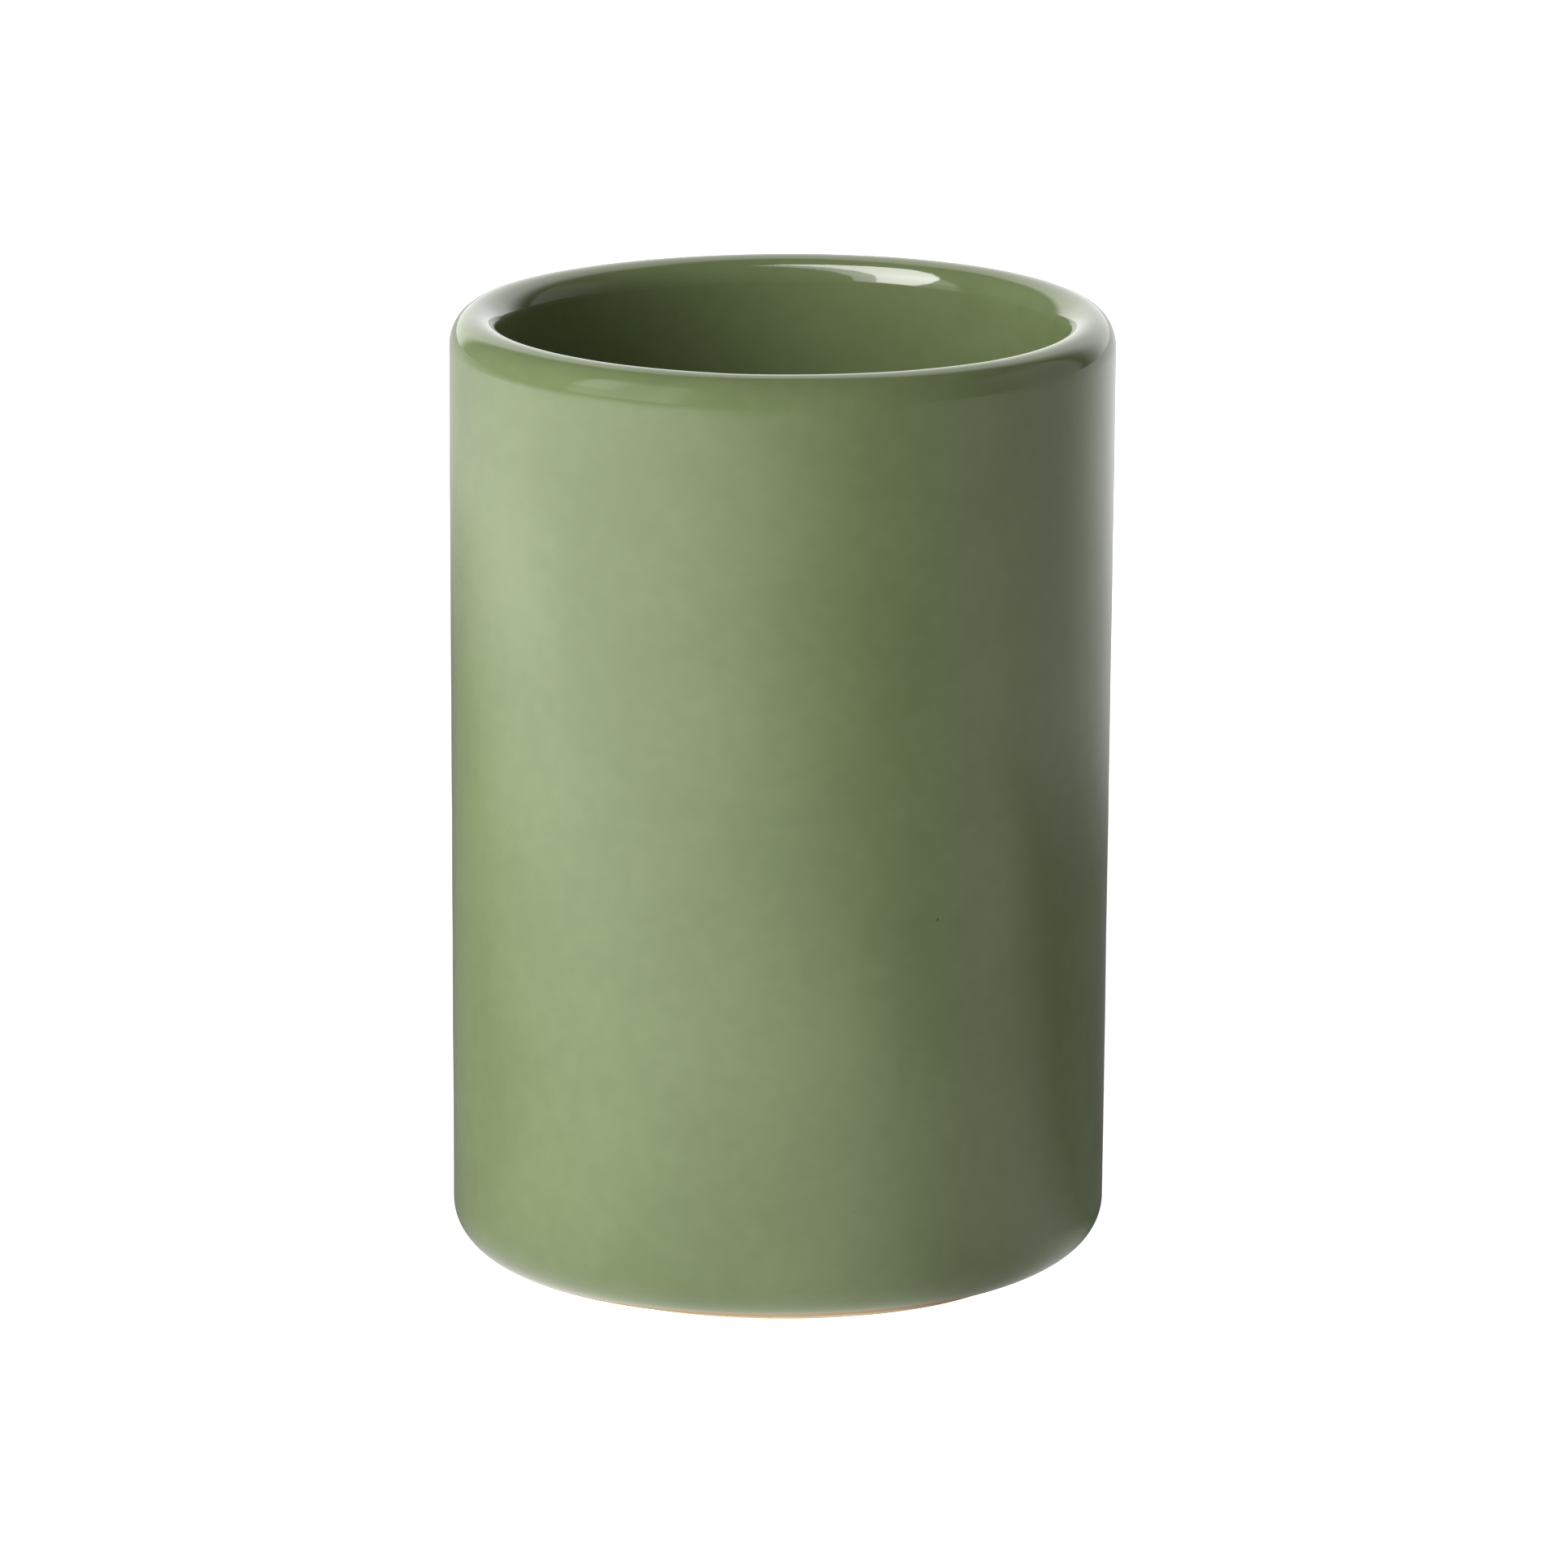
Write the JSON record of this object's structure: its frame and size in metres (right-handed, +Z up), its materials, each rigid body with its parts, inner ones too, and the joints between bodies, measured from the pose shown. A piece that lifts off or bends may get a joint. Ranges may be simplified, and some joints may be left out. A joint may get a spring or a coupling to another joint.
{
  "type": "brush pot",
  "caption": "Straight-sided round ceramic pot with a rounded lip, an open well for brushes or pens and a bare foot ring.",
  "frame": {"origin": "centre of the circle that the foot ring stands on, on the table", "axes": "+Z up along the pot's axis, out of its mouth; the pot is round, so +X and +Y are free"},
  "size_m": [0.076, 0.076, 0.111],
  "materials": {
    "bare_clay": "matte",
    "glaze": "gloss"
  },
  "bodies": {
    "root": {"clay_body": "bare_clay", "glaze_coat": "glaze", "recess_glaze": "glaze"}
  },
  "joints": []
}
